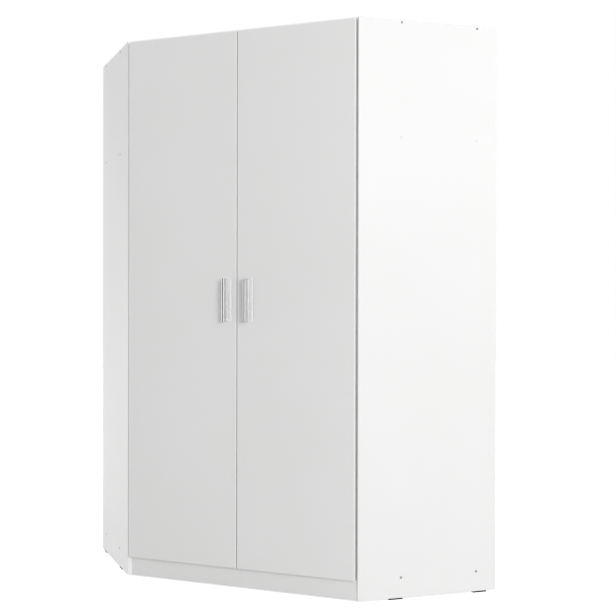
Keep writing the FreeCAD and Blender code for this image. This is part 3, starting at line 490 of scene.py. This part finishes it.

# %% [markdown]
# ## Carcass screws
# Long screws with a hexagonal socket hold each side panel to the bottom board, the hat shelf and the top board. Their
# heads lie in two columns on the outside. The photograph shows them as small grey dots, but none on the right panel at
# the height of the hat shelf, where the bright light washes them out. Those heads are covered with white caps in the
# white of the boards, as a painted highlight. The heights come from the boards' own solids, so a head always sits at
# the middle of a board's edge. Both sides of the wardrobe are mirror images in the plane x = y, so swapping x and y
# gives the right-hand places.

# %% Screws in the side panels
FRONT_COLUMN = 158 * MM
REAR_COLUMN = 444 * MM
panel_low, panel_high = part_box("left_side_panel")
boards = ("bottom_panel", "hat_shelf", "top_panel")
levels = [sum(end.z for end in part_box(board)) / 2 for board in boards]


def swapped(places):
    return [((p[1], p[0], p[2]), (w[1], w[0], w[2])) for p, w in places]


def panel_places(*heights):
    columns = (panel_low.y + FRONT_COLUMN, panel_low.y + REAR_COLUMN)
    return [((panel_low.x, y, z), (-1, 0, 0)) for z in heights for y in columns]


left_heads = panel_places(*levels)
right_heads = swapped(panel_places(levels[0], levels[2]))
# Painted highlight: white caps over the shelf-level heads of the right panel
right_highlight_caps = swapped(panel_places(levels[1]))
fasteners("left_carcass_screws", "carcass", left_heads, socket_head, 4.5, dull_zinc, 3)
fasteners("right_carcass_screws", "carcass", right_heads, socket_head, 4.5, dull_zinc, 3)
fasteners("right_screw_caps", "carcass", right_highlight_caps, low_cap, 5.5, cap_plastic, 4)

# %% [markdown]
# ## Hinge screws
# Each concealed hinge is fixed by four small cross-head screws, two through the wings of the cup into the door and two
# through the wings of the mounting plate into the side panel, and has two adjusting screws on its arm. The heights
# come from the plates' own solids. Places on the door are worked out along the door (u) and into the wardrobe (w),
# because both doors stand at 45 degrees to x and y.

# %% Places on the diagonal front
corner = Vector((panel_low.x, panel_low.y, 0))
middle_u = math.dist((panel_low.x, panel_low.y), (panel_low.y, panel_low.x)) / 2 / MM


def door_place(u_mm, w_mm, z):
    place = corner + ALONG * u_mm * MM + INTO * w_mm * MM
    return (place.x, place.y, z)


print("middle of the front", [round(c, 3) for c in door_place(middle_u, 0, 0)])

# %% Screws of the hinges
PLATE_HALF_HEIGHT = 25 * MM
PLATE_WALL, PLATE_LINE, PLATE_SCREW_LIFT = 3 * MM, 37 * MM, 19 * MM
ARM_TOP, ARM_SCREW_LINES = 18 * MM, (12 * MM, 46 * MM)
CUP_LINE, CUP_FLANGE, CUP_SCREW_LIFT = 31.5, 8, 24 * MM
plates_low, plates_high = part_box("left_hinge_plates")
hinge_first = plates_low.z + PLATE_HALF_HEIGHT
hinge_last = plates_high.z - PLATE_HALF_HEIGHT
plate_places, arm_places, cup_places = [], [], []
for z in (hinge_first, (hinge_first + hinge_last) / 2, hinge_last):
    for lift in (-PLATE_SCREW_LIFT, PLATE_SCREW_LIFT):
        plate_places.append(((panel_high.x + PLATE_WALL, panel_low.y + PLATE_LINE, z + lift), (1, 0, 0)))
    for setback in ARM_SCREW_LINES:
        arm_places.append(((panel_high.x + ARM_TOP, panel_low.y + setback, z), (1, 0, 0)))
    for lift in (-CUP_SCREW_LIFT, CUP_SCREW_LIFT):
        cup_places.append((door_place(CUP_LINE, CUP_FLANGE, z + lift), tuple(INTO)))
for side, flip in (("left", list), ("right", swapped)):
    fasteners(f"{side}_plate_screws", "carcass", flip(plate_places), cross_head, 4.0, zinc, 11)
    fasteners(f"{side}_arm_screws", "carcass", flip(arm_places), cross_head, 3.2, nickel, 12)
    fasteners(f"{side}_cup_screws", f"{side}_door", flip(cup_places), cross_head, 3.6, zinc, 13)

# %% [markdown]
# ## Handle screws and door bumpers
# Two machine screws go through each door from behind into the bar of its handle, 41 mm from the door's free edge. Two
# clear domes near that edge keep the door from knocking against the top and bottom boards.

# %% Handle screws and bumpers
DOOR_END, DOOR_BACK = 458.1, 7
BAR_LINE, BUMPER_LINE = DOOR_END - 41, DOOR_END - 30
HANDLE_SCREW_LIFT = 64 * MM
BUMPER_INSET = 4 * MM
door_low, door_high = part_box("left_door_panel")
door_middle = (door_low.z + door_high.z) / 2
handle_levels = (door_middle - HANDLE_SCREW_LIFT, door_middle + HANDLE_SCREW_LIFT)
bumper_levels = (door_low.z + BUMPER_INSET, door_high.z - BUMPER_INSET)
handle_places = [(door_place(BAR_LINE, DOOR_BACK, z), tuple(INTO)) for z in handle_levels]
bumper_places = [(door_place(BUMPER_LINE, DOOR_BACK, z), tuple(INTO)) for z in bumper_levels]
for side, flip in (("left", list), ("right", swapped)):
    fasteners(f"{side}_handle_screws", f"{side}_door", flip(handle_places), cross_head, 4.0, zinc, 21)
    fasteners(f"{side}_bumpers", f"{side}_door", flip(bumper_places), soft_dome, 3.5, silicone, 22)

# %% [markdown]
# ## Screws of the brackets and hangers
# The wall brackets are screwed up into the top board, and the rail hangers up into the hat shelf. All these heads look
# down, so they show only from below, through an open door.

# %% Screws under the boards
BRACKET_WALL, BRACKET_LINE, BRACKET_SCREW_SHIFT = 2.5 * MM, 12 * MM, 8 * MM
FOOT_WALL, FOOT_SETBACK, FOOT_SCREW_SHIFT = 3 * MM, 60 * MM, 14 * MM
down = (0, 0, -1)
bracket_low, bracket_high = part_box("left_wall_bracket")
bracket_middle = (bracket_low.x + bracket_high.x) / 2
bracket_y, bracket_z = bracket_low.y + BRACKET_LINE, bracket_high.z - BRACKET_WALL
rail_low, rail_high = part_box("left_rail")
shelf_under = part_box("hat_shelf")[0].z
foot_x, foot_y = rail_high.x - FOOT_SETBACK, (rail_low.y + rail_high.y) / 2
under_places = []
for shift in (-BRACKET_SCREW_SHIFT, BRACKET_SCREW_SHIFT):
    under_places.append(((bracket_middle + shift, bracket_y, bracket_z), down))
for dx in (-FOOT_SCREW_SHIFT, FOOT_SCREW_SHIFT):
    for dy in (-FOOT_SCREW_SHIFT, FOOT_SCREW_SHIFT):
        under_places.append(((foot_x + dx, foot_y + dy, shelf_under - FOOT_WALL), down))
for side, flip in (("left", list), ("right", swapped)):
    fasteners(f"{side}_bracket_screws", "carcass", flip(under_places), cross_head, 3.6, zinc, 31)

# %% [markdown]
# ## Screws of the plinth and the rear corner
# Two steel angles behind the plinth hold it to the bottom board, and three plastic blocks hold the narrow rear board
# to the level boards. Their screws are placed from the same diagonal directions as those of the doors.

# %% Screws of the plinth brackets and corner blocks
ANGLE_SHIFT = 250
ANGLE_BACK, ANGLE_DROP = 28, 20 * MM
ANGLE_FOOT, ANGLE_WALL = 46, 2 * MM
BLOCK_DEPTH, BLOCK_HALF_HEIGHT, BLOCK_SCREW_SHIFT = 30 * MM, 11 * MM, 9 * MM
bottom_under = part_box("bottom_panel")[0].z
plinth_places = []
for u in (middle_u - ANGLE_SHIFT, middle_u + ANGLE_SHIFT):
    plinth_places.append((door_place(u, ANGLE_BACK, bottom_under - ANGLE_DROP), tuple(INTO)))
    plinth_places.append((door_place(u, ANGLE_FOOT, bottom_under - ANGLE_WALL), down))
board_low, board_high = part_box("corner_board")
block_low, block_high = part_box("corner_blocks")
block_face = (board_low + board_high) / 2 - INTO * BLOCK_DEPTH
block_places = []
for z in (block_low.z + BLOCK_HALF_HEIGHT, shelf_under - BLOCK_HALF_HEIGHT, block_high.z - BLOCK_HALF_HEIGHT):
    for shift in (-BLOCK_SCREW_SHIFT, BLOCK_SCREW_SHIFT):
        spot = block_face + ALONG * shift
        block_places.append(((spot.x, spot.y, z), tuple(-INTO)))
fasteners("plinth_screws", "carcass", plinth_places, cross_head, 3.4, zinc, 33)
fasteners("corner_block_screws", "carcass", block_places, cross_head, 3.4, zinc, 34)

# %% [markdown]
# ## Nails in the back
# The back sheets are nailed to the rear edges of the side panel and of the three boards, about a hand's width apart.
# Listing a hundred places would be dull, and a perfect row would look machined. So a second tree walks along lines,
# spaces points evenly on them, and moves every nail a little, as no one hammers a straight row.

# %% Geometry Nodes: nails along lines
nailer, asked = tree_with_inputs(
    "nails_along_lines", "Nails",
    Lines="Geometry", Pattern="Object", Spacing="Float", Head_Radius="Float",
    Stray="Vector", Facing="Vector", Seed="Int", Finish="Material",
)
curve = add(nailer, "GeometryNodeMeshToCurve", {"Mesh": asked["Lines"]})
spaced = add(nailer, "GeometryNodeResampleCurve", {
    "Curve": curve.outputs["Curve"], "Length": asked["Spacing"],
}, mode="LENGTH")
dots = add(nailer, "GeometryNodeCurveToPoints", {"Curve": spaced.outputs["Curve"]}, mode="EVALUATED")
less = add(nailer, "ShaderNodeVectorMath", {0: asked["Stray"], 1: (-1, -1, -1)}, operation="MULTIPLY")
stray = add(nailer, "FunctionNodeRandomValue", {
    0: less.outputs["Vector"], 1: asked["Stray"], "Seed": asked["Seed"],
}, data_type="FLOAT_VECTOR")
moved = add(nailer, "GeometryNodeSetPosition", {"Geometry": dots.outputs["Points"], "Offset": stray.outputs[0]})
upright = add(nailer, "FunctionNodeAlignRotationToVector", {"Vector": asked["Facing"]}, axis="Z")
nail = add(nailer, "GeometryNodeObjectInfo", {"Object": asked["Pattern"]}, transform_space="ORIGINAL")
nails = add(nailer, "GeometryNodeInstanceOnPoints", {
    "Points": moved.outputs["Geometry"], "Instance": nail.outputs["Geometry"],
    "Rotation": upright.outputs["Rotation"], "Scale": asked["Head Radius"],
})
hammered = add(nailer, "GeometryNodeRealizeInstances", {"Geometry": nails.outputs["Instances"]})
plated = add(nailer, "GeometryNodeSetMaterial", {
    "Geometry": hammered.outputs["Geometry"], "Material": asked["Finish"],
})
add(nailer, "NodeGroupOutput", {"Nails": plated.outputs["Geometry"]})
print("tree:", nailer.name, "with", len(nailer.nodes), "nodes")

# %% Nails of both back walls
NAIL_SPACING, NAIL_RADIUS, NAIL_STRAY = 95 * MM, 1.7 * MM, 1.5 * MM
PANEL_NAIL_INSET, ROW_START, ROW_END = 4 * MM, 60 * MM, 30 * MM
sheet_low, sheet_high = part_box("left_outer_back_sheet")
inner_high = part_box("left_inner_back_sheet")[1]
nail_face = sheet_high.y
panel_line = sheet_low.x + PANEL_NAIL_INSET
runs = [((panel_line, nail_face, levels[0]), (panel_line, nail_face, levels[2]))]
runs += [((panel_line + ROW_START, nail_face, z), (inner_high.x - ROW_END, nail_face, z)) for z in levels]
for side, mirrored in (("left", False), ("right", True)):
    points = [end for run in runs for end in run]
    if mirrored:
        points = [(p[1], p[0], p[2]) for p in points]
    lines = bpy.data.meshes.new(side + "_nail_lines")
    lines.from_pydata(points, [(2 * i, 2 * i + 1) for i in range(len(runs))], [])
    row = baked(side + "_back_nails", lines, nailer, {
        "Pattern": nail_head, "Spacing": NAIL_SPACING, "Head Radius": NAIL_RADIUS,
        "Stray": (0.0, NAIL_STRAY, NAIL_STRAY) if mirrored else (NAIL_STRAY, 0.0, NAIL_STRAY),
        "Facing": (1, 0, 0) if mirrored else (0, 1, 0), "Seed": 41, "Finish": zinc,
    })
    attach(row, "carcass")
    print(row.name, "has", len(row.data.polygons), "faces")

# %% [markdown]
# ## Floor and world
# The photograph is a cut-out on white. More light would make the floor white, but it would burn out the wardrobe too.
# So the floor and the world show white only to the camera and to mirrors and glass, while the light that reaches the
# wardrobe stays at a plain level. The floor's glow is added to its paint, so the wardrobe's shadow still shows on it.

# %% The floor
REACH = 14.0
WHITE = (1, 1, 1, 1)
floor_mesh = bpy.data.meshes.new("floor")
floor_corners = [(-REACH, -REACH, 0), (REACH, -REACH, 0), (REACH, REACH, 0), (-REACH, REACH, 0)]
floor_mesh.from_pydata(floor_corners, [], [(0, 1, 2, 3)])
floor = bpy.data.objects.new("floor", floor_mesh)
scene.collection.objects.link(floor)


def seen_directly(tree):
    path = add(tree, "ShaderNodeLightPath").outputs
    mirror = maths(tree, "MAXIMUM", path["Is Camera Ray"], path["Is Glossy Ray"])
    return maths(tree, "MAXIMUM", mirror, path["Is Transmission Ray"])


# Matt white paper: no gloss, only the shade of what stands on it
floor_paint, floor_tree, floor_shader = finish("paper_white_matt")
floor_shader.inputs["Base Color"].default_value = linear("#D2D2D2")
floor_shader.inputs["Roughness"].default_value = 0.9
glow = add(floor_tree, "ShaderNodeEmission", {"Color": WHITE, "Strength": 0.72})
lit = add(floor_tree, "ShaderNodeAddShader", {0: floor_shader.outputs[0], 1: glow.outputs[0]})
paper = add(floor_tree, "ShaderNodeMixShader", {
    0: seen_directly(floor_tree), 1: floor_shader.outputs[0], 2: lit.outputs[0],
})
floor_tree.links.new(paper.outputs[0], floor_tree.nodes["Material Output"].inputs["Surface"])
floor_mesh.materials.append(floor_paint)
print("floor", 2 * REACH, "m wide")

# %% The world
world = bpy.data.worlds.new("studio")
world.use_nodes = True
scene.world = world
sky = world.node_tree
sky.nodes.clear()
soft = add(sky, "ShaderNodeBackground", {"Color": WHITE, "Strength": 0.575})
white = add(sky, "ShaderNodeBackground", {"Color": WHITE, "Strength": 1.0})
choice = add(sky, "ShaderNodeMixShader", {0: seen_directly(sky), 1: soft.outputs[0], 2: white.outputs[0]})
add(sky, "ShaderNodeOutputWorld", {"Surface": choice.outputs[0]})
print("the wardrobe sees a world of", round(soft.inputs["Strength"].default_value, 3))

# %% [markdown]
# ## Lamps
# In the photograph the right panel is the brightest face and the handles' shadows fall to the left, so a soft key lamp
# stands in front of that panel, low enough for the shadows to drop only a little. A side lamp spreads that light over
# the right panel. A weak lamp behind on the left lifts the left panel, which would otherwise fall behind the doors. It
# stands nearly in the plane of the doors, so they don't mirror it.

# %% Lamps
TARGET = Vector((0, 0, 1.0))


def lamp(name, direction, distance, size, power):
    light = bpy.data.lights.new(name, "AREA")
    light.size = size
    light.energy = power
    holder = bpy.data.objects.new(name, light)
    holder.location = TARGET + Vector(direction).normalized() * distance
    holder.rotation_euler = (TARGET - holder.location).to_track_quat("-Z", "Y").to_euler()
    scene.collection.objects.link(holder)
    print(name, [round(c, 2) for c in holder.location], power, "W")


lamp("key_front_right", (0.05, -0.96, 0.19), distance=8.0, size=2.4, power=232)
lamp("side_right", (0.85, -0.50, 0.44), distance=3.8, size=1.6, power=25)
lamp("rear_left", (-0.75, 0.66, -0.06), distance=4.6, size=1.4, power=43)

# %% [markdown]
# ## Camera
# The photograph's own edges fix the camera. The upright edges stay nearly parallel, so it looks level, from half the
# wardrobe's height. The slopes of the top and bottom edges give the distance, about 4.5 m, the turn of 20 degrees to
# the right, and a lens of 70 mm on a sensor of 36 mm.

# %% Camera
camera_data = bpy.data.cameras.new("camera")
camera_data.sensor_width = 36.0
camera_data.lens = 70.0
camera = bpy.data.objects.new("camera", camera_data)
camera.location = (-1.4534, -4.3105, 1.0078)
camera.rotation_euler = Euler((math.radians(90 - 0.238), math.radians(-0.094), math.radians(-19.767)))
scene.collection.objects.link(camera)
scene.camera = camera
print("lens", round(camera_data.lens, 2), "mm, level distance", round(camera.location.xy.length, 2), "m")

# %% Update the scene and finish
bpy.context.view_layer.update()
